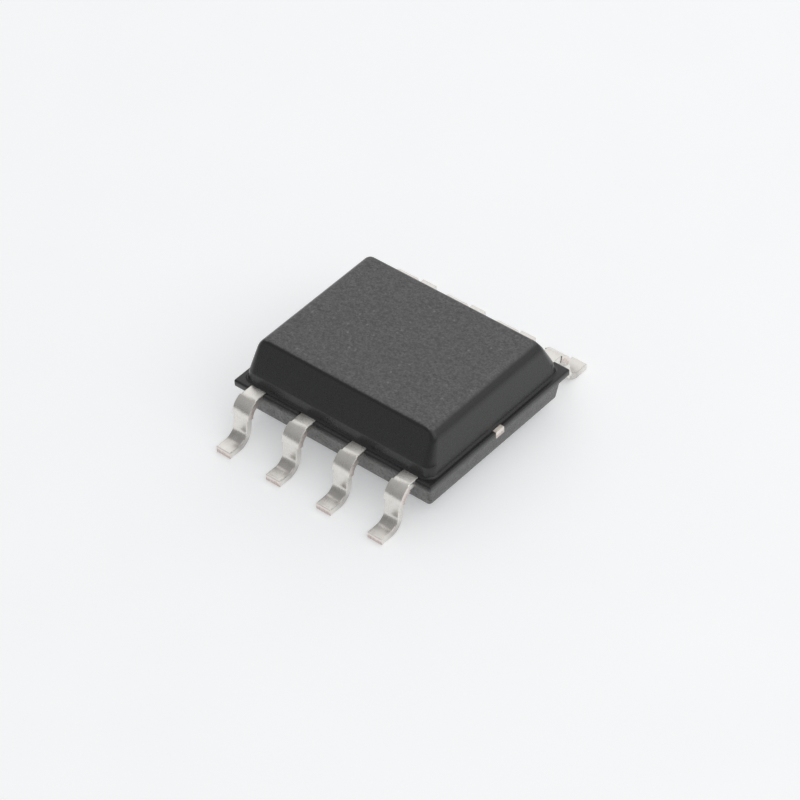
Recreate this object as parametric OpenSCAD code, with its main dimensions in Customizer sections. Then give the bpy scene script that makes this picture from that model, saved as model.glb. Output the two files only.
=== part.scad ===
// Eight-lead small-outline switching regulator chip.
// Millimetres. Origin: on the seating plane, under the middle of the outline.
// +X runs along the rows of leads, +Y across them, +Z up from the board.
// Leads are numbered counter-clockwise seen from above; lead_1 is at -X, -Y.

/* [Moulded body] */
// Length of the flange at lead level, along X
body_len = 4.92; // [4.8:0.02:5.2]
// Width of the flange at lead level, along Y
body_wid = 4.20; // [4.0:0.02:4.4]
// Overall height from the board to the top face
body_top = 1.82; // [1.6:0.02:1.95]
// Clearance between the board and the underside
stand_off = 0.25; // [0.1:0.01:0.26]
// Width of the flat ledge of the flange beside the leads
ledge_y = 0.10; // [0.05:0.005:0.16]
// Width of the flat ledge of the flange at the end faces
ledge_x = 0.07; // [0.03:0.005:0.14]
// Radius of the fillet between ledge and wall, beside the leads
foot_ry = 0.045; // [0.02:0.005:0.08]
// Radius of the fillet between ledge and wall, at the end faces
foot_rx = 0.045; // [0.02:0.005:0.1]
// Height of the steep wall above the ledge
wall_h = 0.21; // [0.12:0.005:0.25]
// How far that wall leans in over its height, beside the leads
wall_in_y = 0.04; // [0.01:0.005:0.08]
// How far that wall leans in over its height, at the end faces
wall_in_x = 0.036; // [0.005:0.001:0.05]
// Inset of the top face from the flange, beside the leads
top_in_y = 0.535; // [0.35:0.001:0.6]
// Inset of the top face from the flange, at the end faces
top_in_x = 0.27; // [0.2:0.001:0.45]
// Inset of the underside from the flange
bottom_in = 0.185; // [0.15:0.001:0.3]
// Inset of the lower half where it meets the flange
low_in = 0.10; // [0.03:0.005:0.14]
// Radius of the top face's edges beside the leads
edge_ry = 0.10; // [0.03:0.01:0.15]
// Radius of the top face's edges at the end faces
edge_rx = 0.28; // [0.05:0.01:0.3]
// Corner radius of the upper half at its foot, in plan
corner_r = 0.21; // [0.10:0.01:0.4]
// Corner radius of the top face, in plan
corner_top_r = 0.08; // [0.04:0.01:0.3]
// Corner radius of the lower half, in plan
corner_low_r = 0.07; // [0.05:0.01:0.25]

/* [Leads] */
// Distance between neighbouring leads
pitch = 1.27; // [1.25:0.01:1.29]
// Overall width across the toes of both rows
span = 6.2; // [6.0:0.02:6.4]
// Width of a lead where it leaves the body
lead_w = 0.38; // [0.31:0.005:0.41]
// Width of a lead's leg and foot
leg_w = 0.36; // [0.31:0.005:0.40]
// Width over the sheared dam-bar stubs, round the shoulder's bend
dam_w = 0.42; // [0.40:0.005:0.48]
// Thickness of the lead frame
lead_t = 0.15; // [0.12:0.01:0.2]
// Height of the top of the lead frame above the board
lead_top = 0.94; // [0.9:0.005:1.0]
// Outer radius of the bend at the shoulder
shoulder_r = 0.36; // [0.22:0.01:0.38]
// Inner radius of the bend above the foot
ankle_r = 0.24; // [0.12:0.01:0.28]
// Outward lean of the leg, in degrees
leg_lean = 8; // [2:1:10]
// Angle round the shoulder's bend at which the dam-bar stubs start
dam_turn = 15; // [5:1:30]
// Height above the board at which the dam-bar stubs end
dam_z = 0.60; // [0.56:0.01:0.62]
// Length of the flat part of the foot
foot_len = 0.262; // [0.2:0.002:0.36]
// Distance from the middle plane to the tip of a middle lead's finger
finger_y = 1.25; // [1.2:0.01:1.35]
// Distance from the middle plane to the tip of a corner lead's finger
corner_finger_y = 0.62; // [0.5:0.01:0.9]

/* [Die pad] */
// Length of the die pad, along X
pad_len = 3.0; // [2.6:0.02:3.1]
// Width of the die pad, along Y
pad_wid = 2.1; // [1.8:0.02:2.2]
// How far the die pad lies below the leads
downset = 0.20; // [0.18:0.01:0.3]
// Width of a tie bar
tie_w = 0.24; // [0.2:0.01:0.3]
// Offset of the tie bars from the middle plane
tie_y = -0.05; // [-0.1:0.01:0.1]
// How far a cut tie bar stands out of the end face
tie_out = 0.02; // [0.01:0.01:0.04]

/* [Die and wires] */
// Length of the die, along X
die_len = 1.9; // [1.5:0.05:2.2]
// Width of the die, along Y
die_wid = 1.5; // [1.2:0.05:1.6]
// Thickness of the die
die_t = 0.25; // [0.2:0.01:0.3]
// Thickness of the die attach
attach_t = 0.02; // [0.02:0.01:0.04]
// Diameter of a bond wire
wire_d = 0.04; // [0.03:0.005:0.05]
// Height of a wire's loop above the die
loop_h = 0.2; // [0.15:0.01:0.3]

/* [Hidden] */

lead_bot = lead_top - lead_t;
pad_top = lead_top - downset;
pad_bot = pad_top - lead_t;
die_bot = pad_top + attach_t;
die_top = die_bot + die_t;
bend_n = 8;             // straight steps in a bend
ring_n = 8;             // sides of a bond wire
FAR = 12;               // longer than anything in the part

// x of lead i, which runs 0..3 along a row from -X
function lead_x(i) = (i - 1.5) * pitch;

// ---------- moulded body ----------

// Reach of a rounded rectangle in the direction phi: half sizes a and b, corner radius r
function reach(a, b, r, phi) = (a - r) * abs(cos(phi)) + (b - r) * abs(sin(phi)) + r;

// A solid whose every level [z, a, b, r] is a rounded rectangle, made of the
// prisms that bound it in eight directions
module drafted(levels) {
    n = len(levels);
    intersection_for (phi = [0 : 22.5 : 157.5])
        rotate([0, 0, phi]) rotate([90, 0, 0])
            linear_extrude(height = FAR, center = true)
                polygon(concat(
                    [for (l = levels) [reach(l[1], l[2], l[3], phi), l[0]]],
                    [for (i = [n - 1 : -1 : 0]) [-reach(levels[i][1], levels[i][2], levels[i][3], phi), levels[i][0]]]));
}

hx = body_len / 2;
hy = body_wid / 2;
wall_z = lead_top + wall_h;
// insets of the foot of the flank
flank_in_x = ledge_x + foot_rx + wall_in_x;
flank_in_y = ledge_y + foot_ry + wall_in_y;
// inset of the wall, h above the ledge, with a fillet of radius r at its foot
function wall(h, ledge, r, in) = ledge + (h < r ? sqrt(2 * r * h - h * h) : r) + in * h / wall_h;
// inset of the flank at a height between the wall and the top face
function flank(z, from, to) = from + (to - from) * (z - wall_z) / (body_top - wall_z);
// level of the flank, pulled in by d more
function flank_level(z, d) = [z,
    hx - flank(z, flank_in_x, top_in_x) - d,
    hy - flank(z, flank_in_y, top_in_y) - d, flank(z, corner_r, corner_top_r)];
// lean of a flank from the upright, between two insets
function lean(from, to) = atan((to - from) / (body_top - wall_z));
// how far a top edge of radius r, on a flank that leans by s, pulls in at z
function edge_in(z, r, s) = let (h = z - body_top + r)
    h <= r * sin(s) ? 0 : (r - h * sin(s)) / cos(s) - sqrt(max(0, r * r - h * h));
// level of the top edge at z
function edge_level(z) = [z,
    hx - flank(z, flank_in_x, top_in_x) - edge_in(z, edge_rx, lean(flank_in_x, top_in_x)),
    hy - flank(z, flank_in_y, top_in_y) - edge_in(z, edge_ry, lean(flank_in_y, top_in_y)),
    flank(z, corner_r, corner_top_r)];

module upper_half() {
    drafted([
        for (h = [0, 0.004, 0.015, 0.035, 0.06, 0.09, wall_h - 0.04])
            [lead_top + h, hx - wall(h, ledge_x, foot_rx, wall_in_x),
                hy - wall(h, ledge_y, foot_ry, wall_in_y), corner_r],
        flank_level(wall_z + 0.03, 0.004),
        for (d = [0.23, 0.17, 0.12, 0.08, 0.045, 0.02, 0.006, 0]) edge_level(body_top - d)]);
}

module flange() {
    r = 0.04;           // of its upper edge
    drafted([
        [lead_bot, hx, hy, 0.03],
        [lead_top - r, hx, hy, 0.03],
        [lead_top - 0.5 * r, hx - 0.134 * r, hy - 0.134 * r, 0.03],
        [lead_top - 0.134 * r, hx - 0.5 * r, hy - 0.5 * r, 0.03],
        [lead_top, hx - r, hy - r, 0.03]]);
}

module lower_half() {
    drafted([
        [stand_off, hx - bottom_in - 0.02, hy - bottom_in - 0.02, corner_low_r],
        [stand_off + 0.02, hx - bottom_in, hy - bottom_in, corner_low_r],
        [lead_bot, hx - low_in, hy - low_in, corner_low_r]]);
}

module moulded_body() {
    color([0.20, 0.20, 0.205])
    difference() {
        union() {
            upper_half();
            flange();
            lower_half();
        }
        for (i = [0 : 3]) {
            near_lead(i);
            far_lead(i);
            near_wire(i);
            far_wire(i);
        }
        pad_shape();
        attach_shape();
        die_shape();
    }
}

// ---------- leads ----------

leg_turn = 90 - leg_lean;
heel_r = ankle_r + lead_t;
inner_r = shoulder_r - lead_t;
// straight length of the leg, so that the foot lands on the board
leg_len = (lead_top - lead_t - (shoulder_r + ankle_r) * (1 - cos(leg_turn))) / cos(leg_lean);
// y where the foot's flat begins, and where the shoulder's bend begins
foot_y = span / 2 - foot_len;
bend_y = foot_y - (shoulder_r + ankle_r) * sin(leg_turn) - leg_len * sin(leg_lean);
// end of the shoulder's bend on the lead's outer face
knee = [bend_y + shoulder_r * sin(leg_turn), lead_top - shoulder_r * (1 - cos(leg_turn))];
steps = [for (k = [0 : bend_n]) k * leg_turn / bend_n];

// Side view of the outer lead in [y, z]: the outer face from the body to the
// toe, then the inner face back
outer_face = concat(
    [[hy - 0.3, lead_top]],
    [for (t = steps) [bend_y + shoulder_r * sin(t), lead_top - shoulder_r * (1 - cos(t))]],
    [for (t = steps) let (s = leg_turn - t)
        [foot_y - ankle_r * sin(s), lead_t + ankle_r * (1 - cos(s))]],
    [[span / 2, lead_t]]);
inner_face = concat(
    [[span / 2, 0]],
    [for (t = steps) [foot_y - heel_r * sin(t), heel_r * (1 - cos(t))]],
    [for (t = steps) let (s = leg_turn - t)
        [bend_y + inner_r * sin(s), lead_top - shoulder_r + inner_r * cos(s)]],
    [[hy - 0.3, lead_bot]]);

// Side view of the stretch that carries the dam-bar stubs
dam_run = (knee[1] - dam_z) / cos(leg_lean);
dam_end = knee + dam_run * [sin(leg_lean), -cos(leg_lean)];
// points of the shoulder's bend between two angles, outside and inside
function bend_out(a, b, n) = [for (k = [0 : n]) let (t = a + (b - a) * k / n)
    [bend_y + shoulder_r * sin(t), lead_top - shoulder_r * (1 - cos(t))]];
function bend_in(a, b, n) = [for (k = [0 : n]) let (t = a + (b - a) * k / n)
    [bend_y + inner_r * sin(t), lead_top - shoulder_r + inner_r * cos(t)]];
dam_face = concat(
    bend_out(dam_turn, leg_turn, bend_n),
    [dam_end, dam_end - lead_t * [cos(leg_lean), sin(leg_lean)]],
    bend_in(leg_turn, dam_turn, bend_n));
// Side view of the stretch between the body and the stubs
neck_face = concat(
    [[hy - 0.3, lead_bot], [hy - 0.3, lead_top]],
    bend_out(0, dam_turn, 2),
    bend_in(dam_turn, 0, 2));

// A side view in [y, z] given the width w about x
module strip(x, w, face) {
    translate([x - w / 2, 0, 0])
        rotate([90, 0, 90])
            linear_extrude(height = w) polygon(face);
}

module outer_lead(x) {
    strip(x, leg_w, concat(outer_face, inner_face));
    strip(x, dam_w, dam_face);
    strip(x, lead_w, neck_face);
}

// Plan of the inner finger of a middle lead, about its own axis. in is +1 or
// -1, the side of the lead that faces the middle of the part.
module middle_finger(x, in) {
    w = lead_w / 2;
    translate([x, 0, lead_bot])
        linear_extrude(height = lead_t)
            polygon([
                [-w, hy - 0.2], [-w, hy - 0.30], [-w - 0.07, hy - 0.36],
                [-w - 0.07, hy - 0.48], [-w + 0.02, hy - 0.53], [-w + 0.02, hy - 0.60],
                [-w - 0.06, finger_y + 0.12], [-w - 0.02, finger_y],
                [w + 0.02, finger_y], [w + 0.06, finger_y + 0.12],
                [w - 0.02, hy - 0.60], [w - 0.02, hy - 0.53],
                [w + 0.07, hy - 0.48], [w + 0.07, hy - 0.36], [w, hy - 0.30], [w, hy - 0.2]]);
}

// Plan of the inner finger of a corner lead: it runs in beside the die pad,
// with a lock notch and a wider bonding end that faces the die
module corner_finger(x, in) {
    w = lead_w / 2;
    translate([x, 0, lead_bot])
        linear_extrude(height = lead_t)
            polygon([for (p = [
                [w, hy - 0.2], [w, hy - 0.34], [w + 0.06, hy - 0.42],
                [w + 0.06, hy - 0.62], [w - 0.02, hy - 0.68], [w - 0.02, hy - 0.80],
                [w + 0.05, hy - 0.88], [w + 0.05, corner_finger_y + 0.1],
                [w - 0.05, corner_finger_y], [-w - 0.01, corner_finger_y],
                [-w - 0.09, corner_finger_y + 0.08], [-w - 0.09, hy - 1.0],
                [-w + 0.04, hy - 0.86], [-w + 0.04, hy - 0.74], [-w, hy - 0.68],
                [-w, hy - 0.2]]) [-in * p[0], p[1]]]);
}

// Lead i of the far row, on +Y
module far_lead(i) {
    x = lead_x(i);
    in = i < 2 ? 1 : -1;
    union() {
        outer_lead(x);
        if (i == 0 || i == 3) corner_finger(x, in);
        else middle_finger(x, in);
    }
}

// Lead i of the near row, on -Y: the far lead turned half round
module near_lead(i) {
    rotate([0, 0, 180]) far_lead(3 - i);
}

module lead_colour() {
    color([0.80, 0.79, 0.76]) children();
}
module lead_1() { lead_colour() near_lead(0); }
module lead_2() { lead_colour() near_lead(1); }
module lead_3() { lead_colour() near_lead(2); }
module lead_4() { lead_colour() near_lead(3); }
module lead_5() { lead_colour() far_lead(3); }
module lead_6() { lead_colour() far_lead(2); }
module lead_7() { lead_colour() far_lead(1); }
module lead_8() { lead_colour() far_lead(0); }

// ---------- die pad, die attach and die ----------

// Side view of a tie bar in [x, z]: out of the pad, up the downset and out of
// the end face
tie_reach = hx + tie_out;
tie_rise = pad_len / 2 + downset;
tie_side = [
    [pad_len / 2 - 0.1, pad_top], [pad_len / 2, pad_top], [tie_rise, lead_top],
    [tie_reach, lead_top], [tie_reach, lead_bot],
    [tie_rise + lead_t * 0.414, lead_bot], [pad_len / 2 + lead_t * 0.414, pad_bot],
    [pad_len / 2 - 0.1, pad_bot]];

module tie_bar() {
    translate([0, tie_y + tie_w / 2, 0])
        rotate([90, 0, 0])
            linear_extrude(height = tie_w)
                polygon(tie_side);
}

module pad_shape() {
    c = 0.14;           // corner cut of the pad
    px = pad_len / 2;
    py = pad_wid / 2;
    union() {
        translate([0, 0, pad_bot])
            linear_extrude(height = lead_t)
                polygon([[-px, -py + c], [-px + c, -py], [px - c, -py], [px, -py + c],
                         [px, py - c], [px - c, py], [-px + c, py], [-px, py - c]]);
        tie_bar();
        mirror([1, 0, 0]) tie_bar();
    }
}
module die_pad() { color([0.72, 0.45, 0.30]) pad_shape(); }

// The attach stands out a little round the die
module attach_shape() {
    a = die_len / 2 + 0.05;
    b = die_wid / 2 + 0.05;
    translate([-a, -b, pad_top]) cube([2 * a, 2 * b, attach_t]);
}
module die_attach() { color([0.78, 0.78, 0.80]) attach_shape(); }

module die_shape() {
    translate([-die_len / 2, -die_wid / 2, die_bot]) cube([die_len, die_wid, die_t]);
}
module die() { color([0.35, 0.38, 0.45]) die_shape(); }

// ---------- bond wires ----------

// Bond points of far wire i: on the die, and on the lead's finger
function bond_die(i) = [(i - 1.5) * 0.48, die_wid / 2 - 0.12, die_top];
function bond_lead(i) = i == 0 ? [lead_x(0) + 0.10, corner_finger_y + 0.22, lead_top]
                      : i == 3 ? [lead_x(3) - 0.10, corner_finger_y + 0.22, lead_top]
                      : [lead_x(i), finger_y + 0.14, lead_top];

// Centre line of a wire: a ball's neck rises straight off the die, the loop
// turns over and falls to a flat stitch on the lead. u is 0..1 along it.
function smooth(u) = u * u * (3 - 2 * u);
loop_u = [0, 0, 0.03, 0.10, 0.25, 0.45, 0.65, 0.82, 0.94, 1];
loop_z = [0, 0.6, 0.88, 1, 0.98, 0.86, 0.62, 0.33, 0.10, 0];
function wire_point(a, b, k) = let (u = loop_u[k], top = die_top + loop_h)
    [a[0] + (b[0] - a[0]) * u, a[1] + (b[1] - a[1]) * u,
     k < 4 ? die_top + (top - die_top) * loop_z[k]
           : lead_top + wire_d / 2 + (top - lead_top - wire_d / 2) * loop_z[k]];
function unit(v) = v / norm(v);
// direction of the wire at point k
function wire_dir(a, b, k) = let (n = len(loop_u) - 1)
    k == 0 ? [0, 0, 1]
    : k == n ? unit([b[0] - a[0], b[1] - a[1], 0])
    : unit(unit(wire_point(a, b, k + 1) - wire_point(a, b, k)) + unit(wire_point(a, b, k) - wire_point(a, b, k - 1)));

module wire_tube(a, b) {
    n = len(loop_u);
    side = unit(cross([b[0] - a[0], b[1] - a[1], 0], [0, 0, 1]));
    rings = [for (k = [0 : n - 1]) let (d = wire_dir(a, b, k), up = cross(side, d))
        [for (j = [0 : ring_n - 1]) let (t = (j + 0.5) * 360 / ring_n)
            wire_point(a, b, k) + (side * cos(t) + up * sin(t)) * wire_d / 2 / cos(180 / ring_n)]];
    pts = [for (r = rings) each r];
    walls = [for (k = [0 : n - 2]) for (j = [0 : ring_n - 1]) let (m = (j + 1) % ring_n)
        each [[k * ring_n + j, k * ring_n + m, (k + 1) * ring_n + m],
              [k * ring_n + j, (k + 1) * ring_n + m, (k + 1) * ring_n + j]]];
    polyhedron(points = pts, faces = concat(
        walls,
        [[for (j = [ring_n - 1 : -1 : 0]) j]],
        [[for (j = [0 : ring_n - 1]) (n - 1) * ring_n + j]]));
}

module wire_shape(a, b) {
    dir = unit([b[0] - a[0], b[1] - a[1], 0]);
    union() {
        wire_tube(a, b);
        // ball bond on the die
        translate(a) cylinder(r = wire_d * 1.15, h = 0.025, $fn = 24);
        // stitch bond on the lead
        translate([b[0], b[1], b[2]])
            rotate([0, 0, atan2(dir[1], dir[0])])
                translate([-0.045, -0.032, 0]) cube([0.10, 0.064, wire_d * 0.6]);
    }
}
module far_wire(i) { wire_shape(bond_die(i), bond_lead(i)); }
module near_wire(i) { rotate([0, 0, 180]) far_wire(3 - i); }

module wire_colour() {
    color([0.86, 0.66, 0.30]) children();
}
module wire_1() { wire_colour() near_wire(0); }
module wire_2() { wire_colour() near_wire(1); }
module wire_3() { wire_colour() near_wire(2); }
module wire_4() { wire_colour() near_wire(3); }
module wire_5() { wire_colour() far_wire(3); }
module wire_6() { wire_colour() far_wire(2); }
module wire_7() { wire_colour() far_wire(1); }
module wire_8() { wire_colour() far_wire(0); }

moulded_body();
lead_1();
lead_2();
lead_3();
lead_4();
lead_5();
lead_6();
lead_7();
lead_8();
die_pad();
die_attach();
die();
wire_1();
wire_2();
wire_3();
wire_4();
wire_5();
wire_6();
wire_7();
wire_8();
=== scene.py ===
import math

import bmesh
import bpy
import numpy as np
from mathutils import Matrix, Vector, noise


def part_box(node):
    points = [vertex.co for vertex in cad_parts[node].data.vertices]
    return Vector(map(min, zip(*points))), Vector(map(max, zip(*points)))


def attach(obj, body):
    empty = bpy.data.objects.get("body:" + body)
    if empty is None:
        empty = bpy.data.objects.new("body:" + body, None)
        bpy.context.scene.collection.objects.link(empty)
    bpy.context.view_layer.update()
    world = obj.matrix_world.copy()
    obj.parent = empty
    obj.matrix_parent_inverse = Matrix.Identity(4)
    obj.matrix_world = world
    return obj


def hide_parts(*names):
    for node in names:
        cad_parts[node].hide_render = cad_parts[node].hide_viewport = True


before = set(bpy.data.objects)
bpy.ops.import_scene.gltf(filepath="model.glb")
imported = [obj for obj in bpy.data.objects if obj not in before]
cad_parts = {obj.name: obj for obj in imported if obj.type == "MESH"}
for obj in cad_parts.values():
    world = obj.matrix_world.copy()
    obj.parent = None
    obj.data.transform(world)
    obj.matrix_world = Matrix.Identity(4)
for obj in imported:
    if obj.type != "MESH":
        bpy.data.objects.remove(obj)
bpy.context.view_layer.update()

# Everything below is worked out in millimetres and scaled to metres once, when
# its mesh is finished.
MM = 0.001


def box_mm(node):
    lo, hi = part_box(node)
    return lo / MM, hi / MM


# ---------------------------------------------------------------- camera ----
AZ, EL, ROLL = math.radians(42.0633), math.radians(42.1177), math.radians(-2.9101)
DIST, FOCAL = 72.0464, 3748.33          # mm, and the focal length in 800ths of the sensor
OFF_X, OFF_Y = 1.7228, 24.1943          # where the middle of the chip lies off the axis

back = Vector((math.sin(AZ) * math.cos(EL), -math.cos(AZ) * math.cos(EL), math.sin(EL)))
right = Vector((math.cos(AZ), math.sin(AZ), 0))
up = back.cross(right)
right, up = (right * math.cos(ROLL) + up * math.sin(ROLL),
             -right * math.sin(ROLL) + up * math.cos(ROLL))
eye = (Vector((0, 0, 0.9)) + back * DIST) * MM
axis = (back * FOCAL + right * OFF_X + up * OFF_Y).normalized()
cam_x = (right - axis * right.dot(axis)).normalized()
cam_y = axis.cross(cam_x)
cam_data = bpy.data.cameras.new("camera")
cam_data.sensor_width = 36
cam_data.lens = FOCAL / 800 * 36
cam_data.clip_start, cam_data.clip_end = 0.002, 2.0
camera = bpy.data.objects.new("camera", cam_data)
camera.matrix_world = Matrix((
    (cam_x.x, cam_y.x, axis.x, eye.x),
    (cam_x.y, cam_y.y, axis.y, eye.y),
    (cam_x.z, cam_y.z, axis.z, eye.z),
    (0, 0, 0, 1)))
bpy.context.scene.collection.objects.link(camera)
bpy.context.scene.camera = camera


# --------------------------------------------------------------- helpers ----
def finish_mesh(bm, name, materials, smooth_deg=None):
    """A bmesh in millimetres becomes an object in metres."""
    me = bpy.data.meshes.new(name)
    bm.to_mesh(me)
    bm.free()
    me.transform(Matrix.Scale(MM, 4))
    for m in materials:
        me.materials.append(m)
    if smooth_deg is not None:
        me.shade_smooth()
        me.set_sharp_from_angle(angle=math.radians(smooth_deg))
    o = bpy.data.objects.new(name, me)
    bpy.context.scene.collection.objects.link(o)
    return o


class Nodes:
    """A short way to write a node tree."""

    def __init__(self, name):
        self.mat = bpy.data.materials.new(name)
        self.mat.use_nodes = True
        self.t = self.mat.node_tree
        self.t.nodes.clear()
        self.out = self.add("ShaderNodeOutputMaterial")
        self.bsdf = self.add("ShaderNodeBsdfPrincipled")
        self.t.links.new(self.bsdf.outputs[0], self.out.inputs["Surface"])
        tc = self.add("ShaderNodeTexCoord")
        sc = self.add("ShaderNodeVectorMath", operation="SCALE")
        sc.inputs["Scale"].default_value = 1000.0
        self.t.links.new(tc.outputs["Object"], sc.inputs[0])
        self.mm = sc.outputs[0]         # position in millimetres

    def add(self, kind, **props):
        n = self.t.nodes.new(kind)
        for k, v in props.items():
            setattr(n, k, v)
        return n

    def put(self, value, socket):
        if isinstance(value, bpy.types.NodeSocket):
            self.t.links.new(value, socket)
        else:
            socket.default_value = value

    def attr(self, name, out="Fac"):
        n = self.add("ShaderNodeAttribute", attribute_name=name)
        return n.outputs[out]

    def stretch(self, vec, scale):
        n = self.add("ShaderNodeVectorMath", operation="MULTIPLY")
        self.put(vec, n.inputs[0])
        n.inputs[1].default_value = scale
        return n.outputs[0]

    def noise(self, vec, scale, detail=2.0, rough=0.5, out="Fac"):
        n = self.add("ShaderNodeTexNoise")
        self.put(vec, n.inputs["Vector"])
        n.inputs["Scale"].default_value = scale
        n.inputs["Detail"].default_value = detail
        n.inputs["Roughness"].default_value = rough
        return n.outputs[out]

    def voronoi(self, vec, scale, out="Distance", feature="F1"):
        n = self.add("ShaderNodeTexVoronoi", feature=feature)
        self.put(vec, n.inputs["Vector"])
        n.inputs["Scale"].default_value = scale
        return n.outputs[out]

    def math(self, op, a, b=0.0, clamp=False):
        n = self.add("ShaderNodeMath", operation=op, use_clamp=clamp)
        self.put(a, n.inputs[0])
        self.put(b, n.inputs[1])
        return n.outputs[0]

    def remap(self, v, a, b, c, d):
        n = self.add("ShaderNodeMapRange")
        self.put(v, n.inputs["Value"])
        for k, x in zip(("From Min", "From Max", "To Min", "To Max"), (a, b, c, d)):
            self.put(x, n.inputs[k])
        return n.outputs["Result"]

    def mix(self, fac, a, b):
        n = self.add("ShaderNodeMix", data_type="RGBA")
        self.put(fac, n.inputs[0])
        self.put(a if isinstance(a, bpy.types.NodeSocket) else (*a, 1.0), n.inputs[6])
        self.put(b if isinstance(b, bpy.types.NodeSocket) else (*b, 1.0), n.inputs[7])
        return n.outputs[2]

    def bump(self, height, dist_mm, strength=1.0, normal=None):
        n = self.add("ShaderNodeBump")
        n.inputs["Strength"].default_value = strength
        n.inputs["Distance"].default_value = dist_mm * MM
        self.put(height, n.inputs["Height"])
        if normal is not None:
            self.put(normal, n.inputs["Normal"])
        return n.outputs[0]

    def shade(self, **sockets):
        for k, v in sockets.items():
            self.put(v, self.bsdf.inputs[k.replace("_", " ")])
        return self.mat


# ------------------------------------------------------------- main sizes ----
body_lo, body_hi = box_mm("moulded_body")
lead_lo, lead_hi = box_mm("lead_6")
HX, HY = body_hi.x, body_hi.y            # half sizes of the flange
Z_UNDER, Z_TOP = body_lo.z, body_hi.z
LEAD_T = 0.15
Z_LEAD = lead_hi.z                       # top of the lead frame, and of the ledge

SHOULDER_R, ANKLE_R, LEAN, FOOT = 0.36, 0.24, math.radians(8), 0.262
SPAN = lead_hi.y
TURN = math.pi / 2 - LEAN
LEG = (Z_LEAD - LEAD_T - (SHOULDER_R + ANKLE_R) * (1 - math.cos(TURN))) / math.cos(LEAN)
FOOT_Y = SPAN - FOOT
BEND_Y = FOOT_Y - (SHOULDER_R + ANKLE_R) * math.sin(TURN) - LEG * math.sin(LEAN)
R1, R2 = SHOULDER_R - LEAD_T / 2, ANKLE_R + LEAD_T / 2      # radii of the middle line
S1 = BEND_Y
S2 = S1 + R1 * TURN
S3 = S2 + LEG
S4 = S3 + R2 * TURN
S5 = S4 + FOOT
S_STUB = S1 + R1 * math.radians(15)      # where the cut dam-bar stubs start
DAM_Z = 0.60
KNEE_Z = Z_LEAD - SHOULDER_R * (1 - math.cos(TURN))
S_DAM = S2 + (KNEE_Z - DAM_Z) / math.cos(LEAN)
W0, W_DAM, W_LEG = 0.190, 0.210, 0.180                    # half widths


# ------------------------------------------------------------- materials ----
def moulding_material():
    """Filled epoxy: eroded, grainy top; smoother drafted flanks; paler lower half, partly a lighter finish and
    partly painted light from the bright floor.
    """
    n = Nodes("moulding_compound")
    top = n.attr("eroded")
    # the lower mask carries the paler lower half: partly a lighter finish, partly painted floor light, strongest
    # on the long sides
    low = n.attr("lower")
    fine = n.noise(n.mm, 30.0, 3.0, 0.6)
    broad = n.noise(n.mm, 2.2, 2.0, 0.5)
    mottle = n.noise(n.mm, 14.0, 2.0, 0.5)
    side = n.mix(broad, (0.0105, 0.0105, 0.0112), (0.0140, 0.0140, 0.0148))
    scuff = n.noise(n.mm, 6.5, 3.0, 0.6)
    # the pale lower-half colour: partly a lighter finish, partly painted light from the bright floor
    under = n.mix(n.remap(scuff, 0.35, 0.65, 0.0, 1.0), (0.098, 0.094, 0.089), (0.182, 0.181, 0.180))
    side = n.mix(low, side, under)
    rough_top = n.mix(n.remap(fine, 0.30, 0.70, 0.0, 1.0), (0.060, 0.0595, 0.061), (0.185, 0.183, 0.186))
    rough_top = n.mix(n.remap(mottle, 0.3, 0.7, 0.0, 0.30), rough_top, (0.115, 0.114, 0.117))
    # darker blotches at random over the top
    dark_blotches = n.noise(n.mm, 13.0, 2.0, 0.6)
    rough_top = n.mix(n.remap(dark_blotches, 0.42, 0.68, 0.0, 0.50), rough_top, (0.050, 0.0495, 0.051))
    # a few pale filler grains
    cell = n.voronoi(n.mm, 6.5, "Color")
    sep = n.add("ShaderNodeSeparateColor")
    n.put(cell, sep.inputs[0])
    near = n.remap(n.voronoi(n.mm, 6.5), 0.06, 0.22, 1.0, 0.0)
    rare = n.remap(sep.outputs[0], 0.72, 0.90, 0.0, 0.75)
    rough_top = n.mix(n.math("MULTIPLY", near, rare), rough_top, (0.27, 0.27, 0.27))
    colour = n.mix(top, side, rough_top)
    rough_side = n.remap(mottle, 0.3, 0.7, 0.25, 0.31)
    rough_face = n.remap(fine, 0.3, 0.7, 0.50, 0.62)
    r = n.add("ShaderNodeMix", data_type="FLOAT")
    n.put(top, r.inputs[0]); n.put(rough_side, r.inputs[2]); n.put(rough_face, r.inputs[3])
    grain = n.noise(n.mm, 40.0, 2.0, 0.5)
    silk = n.noise(n.mm, 60.0, 2.0, 0.5)
    h = n.add("ShaderNodeMix", data_type="FLOAT")
    n.put(top, h.inputs[0])
    n.put(n.math("MULTIPLY", silk, 0.14), h.inputs[2])
    n.put(grain, h.inputs[3])
    return n.shade(Base_Color=colour, Roughness=r.outputs[0], IOR=1.55,
                   Normal=n.bump(h.outputs[0], 0.010))


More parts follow.
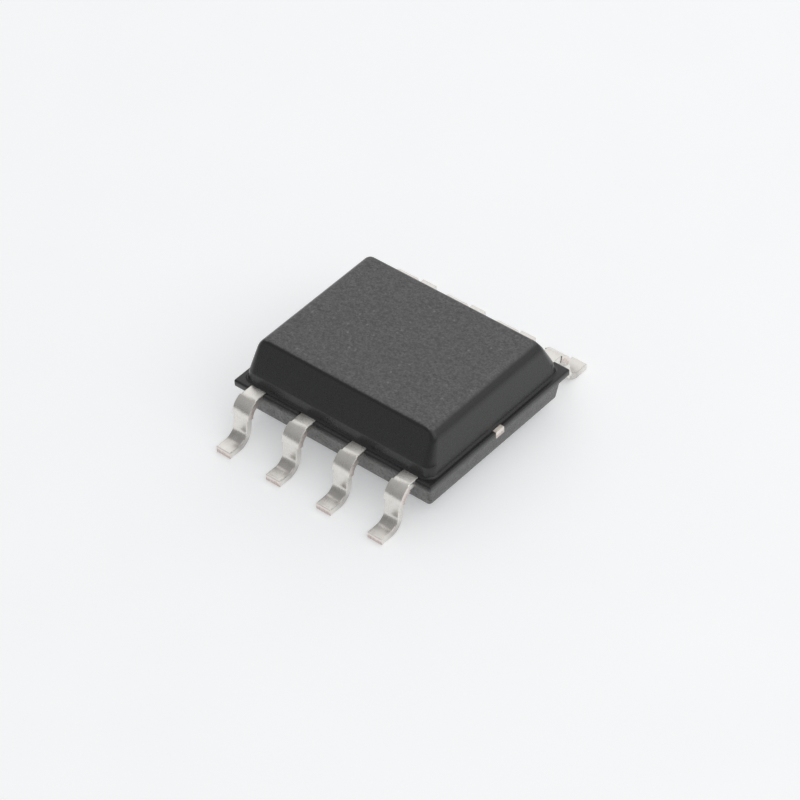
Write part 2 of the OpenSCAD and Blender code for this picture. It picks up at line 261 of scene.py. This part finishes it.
def plating_material():
    """Matt tin over copper: slightly warm, drawn marks along the lead."""
    n = Nodes("lead_plating")
    flat = n.attr("flat", "Vector")      # (across, along, depth) before forming, mm
    sep = n.add("ShaderNodeSeparateXYZ")
    n.put(flat, sep.inputs[0])
    lines = n.noise(n.stretch(flat, (1.0, 0.14, 1.0)), 38.0, 3.0, 0.55)
    cloud = n.noise(n.mm, 6.0, 2.0, 0.5)
    crystal = n.noise(n.mm, 80.0, 2.0, 0.5)
    tone = n.mix(n.remap(cloud, 0.3, 0.7, 0.0, 1.0), (0.78, 0.755, 0.715), (0.84, 0.82, 0.78))
    tone = n.mix(n.remap(lines, 0.45, 0.75, 0.0, 0.25), tone, (0.66, 0.61, 0.57))
    # darker across the ankle bend, where the foot turns
    along = n.math("ADD", sep.outputs[1], n.remap(lines, 0.3, 0.7, -0.035, 0.035))
    ankle_dark_band = n.math("MULTIPLY", n.remap(along, S3 + 0.12, S3 + 0.21, 0.0, 1.0),
                     n.remap(along, S4 - 0.05, S4 + 0.15, 1.0, 0.0))
    tone = n.mix(n.math("MULTIPLY", ankle_dark_band, n.remap(cloud, 0.3, 0.7, 0.50, 0.85)), tone, (0.46, 0.44, 0.42))
    rough = n.math("ADD", n.remap(cloud, 0.3, 0.7, 0.26, 0.31), n.remap(crystal, 0.3, 0.7, -0.02, 0.02))
    b1 = n.bump(lines, 0.0008)
    b2 = n.bump(crystal, 0.0004, 1.0, b1)
    return n.shade(Base_Color=tone, Metallic=1.0, Roughness=rough, Normal=b2)


def sheared_material():
    """A cut through the plating: smeared tin at the top, torn copper below."""
    n = Nodes("sheared_lead")
    flat = n.attr("flat", "Vector")
    sep = n.add("ShaderNodeSeparateXYZ")
    n.put(flat, sep.inputs[0])
    tears = n.noise(n.stretch(flat, (1.0, 1.0, 0.12)), 40.0, 3.0, 0.6)
    patch = n.noise(n.mm, 14.0, 3.0, 0.6)
    depth = n.math("ADD", sep.outputs[2], n.remap(patch, 0.3, 0.7, -0.03, 0.03))
    torn = n.remap(depth, 0.045, 0.085, 0.0, 1.0)
    copper = n.mix(n.remap(tears, 0.35, 0.7, 0.0, 1.0), (0.58, 0.50, 0.47), (0.82, 0.74, 0.69))
    tone = n.mix(torn, (0.84, 0.78, 0.74), copper)
    h = n.math("ADD", tears, n.math("MULTIPLY", patch, 0.6))
    return n.shade(Base_Color=tone, Metallic=1.0, Roughness=n.remap(torn, 0.0, 1.0, 0.32, 0.46),
                   Normal=n.bump(h, 0.003))


def frame_material():
    """The stamped copper-alloy pad, silver-washed, with sheared edges."""
    n = Nodes("lead_frame_inner")
    cloud = n.noise(n.mm, 7.0, 3.0, 0.55)
    lines = n.noise(n.stretch(n.mm, (0.2, 1.0, 1.0)), 60.0, 3.0, 0.6)
    tone = n.mix(n.remap(cloud, 0.35, 0.65, 0.0, 1.0), (0.74, 0.66, 0.58), (0.84, 0.79, 0.73))
    tone = n.mix(n.remap(lines, 0.4, 0.75, 0.0, 0.4), tone, (0.66, 0.52, 0.43))
    return n.shade(Base_Color=tone, Metallic=1.0, Roughness=n.remap(cloud, 0.3, 0.7, 0.26, 0.38),
                   Normal=n.bump(lines, 0.002))


def attach_material():
    n = Nodes("die_attach")
    flakes = n.voronoi(n.mm, 60.0)
    cloud = n.noise(n.mm, 12.0, 3.0, 0.6)
    tone = n.mix(n.remap(flakes, 0.1, 0.7, 0.0, 1.0), (0.66, 0.66, 0.67), (0.42, 0.42, 0.43))
    return n.shade(Base_Color=tone, Metallic=0.0, Roughness=n.remap(cloud, 0.3, 0.7, 0.45, 0.62),
                   Normal=n.bump(flakes, 0.003))


def silicon_material():
    n = Nodes("silicon")
    cloud = n.noise(n.mm, 3.0, 2.0, 0.5)
    blocks = n.voronoi(n.stretch(n.mm, (1.0, 1.0, 0.0)), 4.0, "Color")
    sep = n.add("ShaderNodeSeparateColor")
    n.put(blocks, sep.inputs[0])
    tone = n.mix(sep.outputs[0], (0.10, 0.11, 0.15), (0.19, 0.18, 0.20))
    tone = n.mix(n.remap(cloud, 0.4, 0.6, 0.0, 0.5), tone, (0.14, 0.17, 0.22))
    return n.shade(Base_Color=tone, Metallic=0.55, Roughness=n.remap(sep.outputs[1], 0.0, 1.0, 0.12, 0.22))


def gold_material():
    n = Nodes("bond_wire")
    lines = n.noise(n.mm, 70.0, 2.0, 0.5)
    tone = n.mix(lines, (0.90, 0.62, 0.24), (0.95, 0.74, 0.36))
    return n.shade(Base_Color=tone, Metallic=1.0, Roughness=n.remap(lines, 0.3, 0.7, 0.16, 0.26))


def floor_material():
    n = Nodes("floor_card_glowing")
    fibre = n.noise(n.mm, 0.35, 3.0, 0.5)
    tone = n.mix(fibre, (0.80, 0.805, 0.81), (0.83, 0.835, 0.84))
    # the card also glows evenly: painted light that lifts the shadows round the chip
    return n.shade(Base_Color=tone, Roughness=0.85, Emission_Color=(0.97, 0.985, 1.0, 1.0),
                   Emission_Strength=0.34)


MOULD = moulding_material()
PLATE = plating_material()
SHEAR = sheared_material()
INNER = frame_material()


# ------------------------------------------------------------------ body ----

NS_X, NS_Y, NS_C = 196, 142, 6           # steps along the straights and in half a corner
NX, NY = NS_X + 2 * NS_C, NS_Y + 2 * NS_C


def rounded(points, radii, n):
    """A polyline with its corners rounded, n steps to a corner."""
    out = [Vector(points[0])]
    for i in range(1, len(points) - 1):
        p = Vector(points[i])
        a, b = (Vector(points[i - 1]) - p).normalized(), (Vector(points[i + 1]) - p).normalized()
        half = a.angle(b) / 2
        reach = radii[i] / math.tan(half)
        mid = p + (a + b).normalized() * (radii[i] / math.sin(half))
        s, e = p + a * reach - mid, p + b * reach - mid
        turn = s.angle(e)
        for k in range(n[i] + 1):
            u = k / n[i]
            out.append(mid + (s * math.sin((1 - u) * turn) + e * math.sin(u * turn)) / math.sin(turn))
    out.append(Vector(points[-1]))
    return out


def profile(points, radii, steps, between):
    """The rounded polyline with extra points along its long straights."""
    pts = rounded(points, radii, steps)
    out, k = [pts[0]], 1
    for i in range(1, len(points) - 1):
        n = between[i - 1]
        a, b = out[-1], pts[k]
        out += [a.lerp(b, j / n) for j in range(1, n)]
        out += pts[k:k + steps[i] + 1]
        k += steps[i] + 1
    n = between[-1]
    out += [out[-1].lerp(pts[-1], j / n) for j in range(1, n + 1)]
    return out


# (inset from the flange, height) at the corners of the outline, over the rows
# of leads and over the ends, up to the wall, with the rounding of each corner
Z_FL = Z_LEAD - LEAD_T + 0.004          # the leads stand just proud of the flange
Z_WALL = Z_LEAD + 0.21
Z_LINE = Z_WALL + 0.09
WALL_X, WALL_Y, TOP_X, TOP_Y = 0.151, 0.185, 0.270, 0.535      # insets of the flanks
EDGE_X, EDGE_Y = 0.280, 0.100                                  # radii of the top edges
PLAN_WALL, PLAN_TOP = 0.21, 0.08                               # corner radii in plan


def on_flank(z, foot, top):
    return foot + (top - foot) * (z - Z_WALL) / (Z_TOP - Z_WALL)


def edge_in(z, r, foot, top):
    """How far the rounded top edge pulls in from the flank at a height."""
    lean = math.atan((top - foot) / (Z_TOP - Z_WALL))
    h = z - Z_TOP + r
    if h <= r * math.sin(lean):
        return 0.0
    return (r - h * math.sin(lean)) / math.cos(lean) - math.sqrt(max(0.0, r * r - h * h))


side_y = [(0.36, Z_UNDER), (0.185, Z_UNDER), (0.100, Z_FL), (0.0, Z_FL), (0.0, Z_LEAD),
          (0.145, Z_LEAD), (WALL_Y, Z_WALL), (on_flank(Z_LINE, WALL_Y, TOP_Y), Z_LINE)]
side_x = [(0.36, Z_UNDER), (0.185, Z_UNDER), (0.100, Z_FL), (0.0, Z_FL), (0.0, Z_LEAD),
          (0.115, Z_LEAD), (WALL_X, Z_WALL), (on_flank(Z_LINE, WALL_X, TOP_X), Z_LINE)]
round_y = [0, 0.030, 0.012, 0.012, 0.042, 0.050, 0.080, 0]
round_x = [0, 0.030, 0.012, 0.012, 0.030, 0.050, 0.060, 0]
steps = [0, 5, 2, 3, 5, 6, 5, 0]
between = [1, 4, 1, 1, 1, 2, 1]
plan_r = [0.06, 0.07, 0.07, 0.030, 0.030, PLAN_WALL, PLAN_WALL, on_flank(Z_LINE, PLAN_WALL, PLAN_TOP)]

prof_y = profile(side_y, round_y, steps, between)
prof_x = profile(side_x, round_x, steps, between)
# the plan radius at each profile point
radii = profile([(r, i * 1.0) for i, r in enumerate(plan_r)], [0] + [0.02] * 6 + [0], steps, between)
radii = [max(0.012, p.x) for p in radii]
# the flanks and the rounded top edges, in level rings
for z in [Z_LINE + 0.07 * k for k in range(1, 5)] + [
        Z_TOP - d for d in (0.265, 0.235, 0.207, 0.18, 0.155, 0.132, 0.11, 0.09, 0.073, 0.058,
                            0.044, 0.032, 0.022, 0.014, 0.008, 0.0035, 0.001, 0.0)]:
    prof_x.append(Vector((on_flank(z, WALL_X, TOP_X) + edge_in(z, EDGE_X, WALL_X, TOP_X), z)))
    prof_y.append(Vector((on_flank(z, WALL_Y, TOP_Y) + edge_in(z, EDGE_Y, WALL_Y, TOP_Y), z)))
    radii.append(on_flank(z, PLAN_WALL, PLAN_TOP))
# and the rim of the flat top
for k in (1, 2):
    prof_x.append(prof_x[-1].lerp(Vector((0.62, Z_TOP)), k / 2))
    prof_y.append(prof_y[-1].lerp(Vector((0.70, Z_TOP)), k / 2))
    radii.append(radii[-1] - 0.005)


def ring(px, py, r):
    """A rounded rectangle, as 2 (NX + NY) points from the middle of the -X -Y corner."""
    cx, cy = HX - px.x - r, HY - py.x - r
    pts = []
    for turn, (ax, ay), (bx, by), ns in (
            (225, (-cx, -cy), (cx, -cy), NS_X), (315, (cx, -cy), (cx, cy), NS_Y),
            (45, (cx, cy), (-cx, cy), NS_X), (135, (-cx, cy), (-cx, -cy), NS_Y)):
        def at(x, y, deg):
            c, s = math.cos(math.radians(deg)), math.sin(math.radians(deg))
            return (x + r * c, y + r * s, px.y * c * c + py.y * s * s)
        pts += [at(ax, ay, turn + 45 * k / NS_C) for k in range(NS_C)]
        pts += [at(ax + (bx - ax) * k / ns, ay + (by - ay) * k / ns, turn + 45) for k in range(ns)]
        pts += [at(bx, by, turn + 45 + 45 * k / NS_C) for k in range(NS_C)]
    return pts


def cutter(name, nodes):
    """A copy of some CAD solids in millimetres, to cut their space out of the resin."""
    bm = bmesh.new()
    for node in nodes:
        bm.from_mesh(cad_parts[node].data)
    bmesh.ops.scale(bm, vec=(1 / MM,) * 3, verts=bm.verts)
    bmesh.ops.remove_doubles(bm, verts=bm.verts, dist=2e-4)
    me = bpy.data.meshes.new(name)
    bm.to_mesh(me)
    bm.free()
    o = bpy.data.objects.new(name, me)
    bpy.context.scene.collection.objects.link(o)
    return o


def build_body():
    bm = bmesh.new()
    rings = [[bm.verts.new(p) for p in ring(px, py, r)] for px, py, r in zip(prof_x, prof_y, radii)]
    n = len(rings[0])
    for a, b in zip(rings, rings[1:]):
        for i in range(n):
            j = (i + 1) % n
            bm.faces.new((a[i], a[j], b[j], b[i]))
    bm.faces.new(list(reversed(rings[0])))
    bm.faces.new(rings[-1])
    me = bpy.data.meshes.new("body_blank")
    bm.to_mesh(me)
    bm.free()
    blank = bpy.data.objects.new("body_blank", me)
    bpy.context.scene.collection.objects.link(blank)
    groups = [[f"lead_{i}" for i in range(1, 9)] + ["die_pad"],
              [f"wire_{i}" for i in range(1, 9)] + ["die_attach"], ["die"]]
    cutters = [cutter(f"cutter_{k}", g) for k, g in enumerate(groups)]
    for c in cutters:
        m = blank.modifiers.new(c.name, "BOOLEAN")
        m.operation, m.solver, m.object = "DIFFERENCE", "EXACT", c
    bpy.context.view_layer.update()
    cut = bpy.data.meshes.new_from_object(blank.evaluated_get(bpy.context.evaluated_depsgraph_get()))
    for o in [blank, *cutters]:
        bpy.data.objects.remove(o)

    # the top cap becomes a fine grid, which carries the eroded grain
    bm = bmesh.new()
    bm.from_mesh(cut)
    cap = max((f for f in bm.faces if f.normal.z > 0.99), key=lambda f: len(f.verts))
    assert len(cap.verts) == n, len(cap.verts)
    loop = [l.vert for l in cap.loops]
    start = min(range(n), key=lambda i: (loop[i].co - Vector(ring(prof_x[-1], prof_y[-1], radii[-1])[0])).length)
    loop = loop[start:] + loop[:start]
    bm.faces.remove(cap)
    south, east = loop[:NX + 1], loop[NX:NX + NY + 1]
    north = list(reversed(loop[NX + NY:2 * NX + NY + 1]))
    west = list(reversed(loop[2 * NX + NY:] + [loop[0]]))
    co = lambda vs: np.array([v.co for v in vs])
    S, E, N, W = co(south), co(east), co(north), co(west)
    u = np.linspace(0, 1, NX + 1)[:, None, None]
    v = np.linspace(0, 1, NY + 1)[None, :, None]
    P = ((1 - v) * S[:, None] + v * N[:, None] + (1 - u) * W[None] + u * E[None]
         - ((1 - u) * (1 - v) * S[0] + u * (1 - v) * S[-1] + (1 - u) * v * N[0] + u * v * N[-1]))
    grid = [[None] * (NY + 1) for _ in range(NX + 1)]
    for i in range(NX + 1):
        for j in range(NY + 1):
            if j == 0: grid[i][j] = south[i]
            elif j == NY: grid[i][j] = north[i]
            elif i == 0: grid[i][j] = west[j]
            elif i == NX: grid[i][j] = east[j]
            else: grid[i][j] = bm.verts.new(P[i, j])
    for i in range(NX):
        for j in range(NY):
            bm.faces.new((grid[i][j], grid[i + 1][j], grid[i + 1][j + 1], grid[i][j + 1]))
    bm.normal_update()

    # the grain: pits and grains of the spark-eroded mould face, dying out down the flanks
    eroded = bm.verts.layers.float.new("eroded")
    lower = bm.verts.layers.float.new("lower")
    for vert in bm.verts:
        c = vert.co
        # the paler lower half: partly a lighter finish, partly painted light from the bright floor; the long
        # sides get more of it than the ends, painted light for how the light falls on them
        across = abs(vert.normal.y) / max(1e-6, abs(vert.normal.x) + abs(vert.normal.y))
        paler_finish_and_painted_light = (0.42 + 0.58 * across) if vert.normal.z > -0.9 else 0.42
        if c.z > Z_FL - 0.01:
            paler_finish_and_painted_light = min(paler_finish_and_painted_light, 0.62)
        vert[lower] = paler_finish_and_painted_light * min(1.0, max(0.0, (Z_LEAD - 0.05 - c.z) / 0.04))
        if c.z < 1.3 or abs(vert.normal.z) < 0.2:
            continue
        f = min(1.0, max(0.0, (vert.normal.z - 0.79) / 0.175))
        f = f * f * (3 - 2 * f)
        vert[eroded] = f
        if f > 0.0:
            h = 0.0072 * noise.noise(c * 15.0) + 0.0054 * noise.noise(c * 29.0 + Vector((7, 3, 1)))
            c += vert.normal * (h * f)
    bm.normal_update()
    o = finish_mesh(bm, "body_moulding", [MOULD], 32)
    wn = o.modifiers.new("weighted", "WEIGHTED_NORMAL")
    wn.keep_sharp = True
    wn.weight = 60
    return o


body = build_body()
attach(body, "root")
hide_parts("moulded_body")


# ----------------------------------------------------------------- leads ----


def formed(x, s, t):
    """A point of the flat blank, x across, s along, t up from its middle plane, after forming."""
    if s <= S1:
        y, z, a = s, 0.0, 0.0
    elif s <= S2:
        a = (s - S1) / R1
        y, z = S1 + R1 * math.sin(a), -R1 * (1 - math.cos(a))
    else:
        a = TURN
        y, z = S1 + R1 * math.sin(a), -R1 * (1 - math.cos(a))
        d = min(s, S3) - S2
        y, z = y + d * math.cos(a), z - d * math.sin(a)
        if s > S3:
            b = min(s, S4) - S3
            c = TURN - b / R2
            y += R2 * (math.sin(TURN) - math.sin(c))
            z -= R2 * (math.cos(c) - math.cos(TURN))
            a = c
            if s > S4:
                y += s - S4
                a = 0.0
    return Vector((x, y + t * math.sin(a), Z_LEAD - LEAD_T / 2 + z + t * math.cos(a)))


def middle_edges():
    """Half widths [s, left, right] of the flat blank of a middle lead."""
    fy = 1.25
    e = [(fy, 0.02), (fy + 0.12, 0.06), (HY - 0.60, -0.02), (HY - 0.53, -0.02), (HY - 0.48, 0.07),
         (HY - 0.36, 0.07), (HY - 0.30, 0.0)]
    return [(s, W0 + d) for s, d in e], [(s, W0 + d) for s, d in e]


def corner_edges():
    """The outer edge and the inner edge of a corner lead's finger."""
    fy = 0.62
    outer = [(fy, -0.05), (fy + 0.1, 0.05), (HY - 0.88, 0.05), (HY - 0.80, -0.02), (HY - 0.68, -0.02),
             (HY - 0.62, 0.06), (HY - 0.42, 0.06), (HY - 0.34, 0.0)]
    inner = [(fy, 0.01), (fy + 0.08, 0.09), (HY - 1.0, 0.09), (HY - 0.86, -0.04), (HY - 0.74, -0.04),
             (HY - 0.68, 0.0)]
    return [(s, W0 + d) for s, d in outer], [(s, W0 + d) for s, d in inner]


STRIP = [(S_STUB - 0.004, W0), (S_STUB + 0.001, W_DAM - 0.003), (S_STUB + 0.006, W_DAM),
         (S_DAM - 0.006, W_DAM), (S_DAM - 0.001, W_DAM - 0.004), (S_DAM + 0.003, W_LEG), (S5, W_LEG)]
R_TOP, R_LOW, R_CUT, R_END = 0.024, 0.016, 0.009, 0.012


def build_lead(name, index, near):
    left, right = (corner_edges() if index in (0, 3) else middle_edges())
    if index == 3:
        left, right = right, left       # the bonding end looks towards the die
    left, right = left + STRIP, right + STRIP
    ls, lw = np.array(left).T
    rs, rw = np.array(right).T
    stations = set(np.round(np.concatenate([ls, rs]), 5))
    stations |= {round(x, 5) for a, b, n in ((S1, S2, 30), (S3, S4, 30), (S2, S3, 8), (S4, S5, 6),
                                             (HY - 0.3, S1, 8)) for x in np.linspace(a, b, n + 1)}
    start, end = ls[0], S5
    for k in range(1, 5):               # the rounded arrises at the two ends
        stations |= {round(start + R_END * k / 4, 5), round(end - R_END * k / 4, 5)}
    stations = sorted(s for s in stations if start - 1e-9 <= s <= end + 1e-9)
    bm = bmesh.new()
    flat = bm.verts.layers.float_vector.new("flat")
    rings = []
    for s in stations:
        a, b = np.interp(s, ls, lw), np.interp(s, rs, rw)
        top, low = LEAD_T / 2, -LEAD_T / 2
        e = min(s - start, end - s)
        if e < R_END:                   # shrink towards the end face
            q = R_END - math.sqrt(max(0.0, R_END ** 2 - (R_END - e) ** 2))
            a, b, top, low = a - q, b - q, top - q, low + q
        cut = S_STUB - 0.002 <= s <= S_DAM + 0.001 or end - s < 0.03
        rt, rl = (R_CUT, R_CUT) if cut else (R_TOP, R_LOW)
        pts = []
        for cx, cz, r, a0 in ((b - rt, top - rt, rt, 0), (-a + rt, top - rt, rt, 90),
                              (-a + rl, low + rl, rl, 180), (b - rl, low + rl, rl, 270)):
            for k in range(5):
                th = math.radians(a0 + 90 * k / 4)
                pts.append((cx + r * math.cos(th), cz + r * math.sin(th)))
        row = []
        for x, t in pts:
            v = bm.verts.new(formed(x, s, t))
            v[flat] = (x, s, LEAD_T / 2 - t)
            row.append(v)
        rings.append((s, row))
    n = len(rings[0][1])
    for (sa, ra), (sb, rb) in zip(rings, rings[1:]):
        mid = (sa + sb) / 2
        for i in range(n):
            j = (i + 1) % n
            f = bm.faces.new((ra[i], ra[j], rb[j], rb[i]))
            side = i in (4, 3, 19, 0, 9, 10, 14, 8, 13, 18) and i % 5 == 4
            if (side and i in (9, 19) and S_STUB < mid < S_DAM) or mid > S5 - 0.008:
                f.material_index = 1
    f = bm.faces.new(rings[0][1]); f.material_index = 1
    f = bm.faces.new(list(reversed(rings[-1][1]))); f.material_index = 1
    if near:
        bmesh.ops.rotate(bm, cent=(0, 0, 0), matrix=Matrix.Rotation(math.pi, 3, "Z"), verts=bm.verts)
    lo, hi = box_mm(name)
    foot_x = [v.co.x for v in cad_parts[name].data.vertices if abs(v.co.y) > (SPAN - 0.02) * MM]
    bmesh.ops.translate(bm, vec=((min(foot_x) + max(foot_x)) / 2 / MM, 0, 0), verts=bm.verts)
    bmesh.ops.recalc_face_normals(bm, faces=bm.faces)
    o = finish_mesh(bm, name + "_formed", [PLATE, SHEAR], 40)
    wn = o.modifiers.new("weighted", "WEIGHTED_NORMAL")
    wn.keep_sharp = True
    wn.weight = 60
    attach(o, "root")
    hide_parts(name)
    return o


for i in range(4):
    build_lead(f"lead_{i + 1}", 3 - i, True)
    build_lead(f"lead_{8 - i}", i, False)


# ----------------------------------------------------- pad and tie bars ----
def build_pad():
    bm = bmesh.new()
    bm.from_mesh(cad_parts["die_pad"].data)
    bmesh.ops.scale(bm, vec=(1 / MM,) * 3, verts=bm.verts)
    bmesh.ops.remove_doubles(bm, verts=bm.verts, dist=2e-4)
    bmesh.ops.dissolve_limit(bm, angle_limit=math.radians(1), verts=bm.verts, edges=bm.edges)
    edges = [e for e in bm.edges if len(e.link_faces) == 2 and e.calc_face_angle() > 0.6]
    bmesh.ops.bevel(bm, geom=edges, offset=0.009, segments=2, profile=0.5, affect="EDGES", clamp_overlap=True)
    flat = bm.verts.layers.float_vector.new("flat")
    for v in bm.verts:
        v[flat] = (v.co.x, v.co.y, Z_LEAD - v.co.z)
    for f in bm.faces:
        if abs(f.normal.x) > 0.9 and abs(f.calc_center_median().x) > HX:
            f.material_index = 1
    o = finish_mesh(bm, "die_pad_stamped", [INNER, SHEAR], 40)
    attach(o, "root")
    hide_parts("die_pad")


build_pad()


# ------------------------------------------------- pieces kept from CAD ----
def dress(node, mat):
    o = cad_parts[node]
    o.data.materials.clear()
    o.data.materials.append(mat)


dress("die_attach", attach_material())
dress("die", silicon_material())
GOLD = gold_material()
for i in range(1, 9):
    dress(f"wire_{i}", GOLD)


# ----------------------------------------------------------------- stage ----
def build_floor():
    bm = bmesh.new()
    bmesh.ops.create_grid(bm, x_segments=8, y_segments=8, size=900.0)
    bmesh.ops.translate(bm, vec=(0, 0, -0.002), verts=bm.verts)
    o = finish_mesh(bm, "floor", [floor_material()])


build_floor()


def softbox(name, direction, distance, size, power, colour=(1, 1, 1)):
    """An area light that faces the chip from a direction. Lengths in mm."""
    d = Vector(direction).normalized()
    light = bpy.data.lights.new(name, "AREA")
    light.shape = "RECTANGLE"
    light.size, light.size_y = size[0] * MM, size[1] * MM
    light.energy = power
    light.color = colour
    o = bpy.data.objects.new(name, light)
    o.location = (Vector((0, 0, 0.5)) + d * distance) * MM
    o.rotation_mode = "QUATERNION"
    o.rotation_quaternion = d.to_track_quat("Z", "Y")
    bpy.context.scene.collection.objects.link(o)
    return o


def radiance(value, size):
    """Watts that give an area light of that size, in mm, this radiance."""
    return value * math.pi * size[0] * size[1] * MM * MM


BACK, KEY, SIDE = (220, 220), (190, 190), (240, 170)
softbox("back", (-0.39, 0.75, 0.53), 170, BACK, radiance(0.57, BACK))
softbox("key", (0.61, -0.06, 0.79), 170, KEY, radiance(0.70, KEY))
softbox("side", (0.72, 0.58, 0.38), 170, SIDE, radiance(0.42, SIDE))

world = bpy.data.worlds.new("studio")
bpy.context.scene.world = world
world.use_nodes = True
bg = world.node_tree.nodes.get("Background") or world.node_tree.nodes.new("ShaderNodeBackground")
bg.inputs["Color"].default_value = (1.0, 1.0, 1.0, 1.0)
bg.inputs["Strength"].default_value = 1.0
# a little darker at the horizon than overhead
tree = world.node_tree
where = tree.nodes.new("ShaderNodeTexCoord")
split = tree.nodes.new("ShaderNodeSeparateXYZ")
ramp = tree.nodes.new("ShaderNodeMapRange")
ramp.inputs["From Min"].default_value, ramp.inputs["From Max"].default_value = 0.0, 0.9
ramp.inputs["To Min"].default_value, ramp.inputs["To Max"].default_value = 0.26, 0.46
tree.links.new(where.outputs["Generated"], split.inputs[0])
tree.links.new(split.outputs["Z"], ramp.inputs["Value"])
tree.links.new(ramp.outputs["Result"], bg.inputs["Strength"])
bpy.context.scene.view_settings.view_transform = "Standard"
bpy.context.scene.view_settings.look = "None"
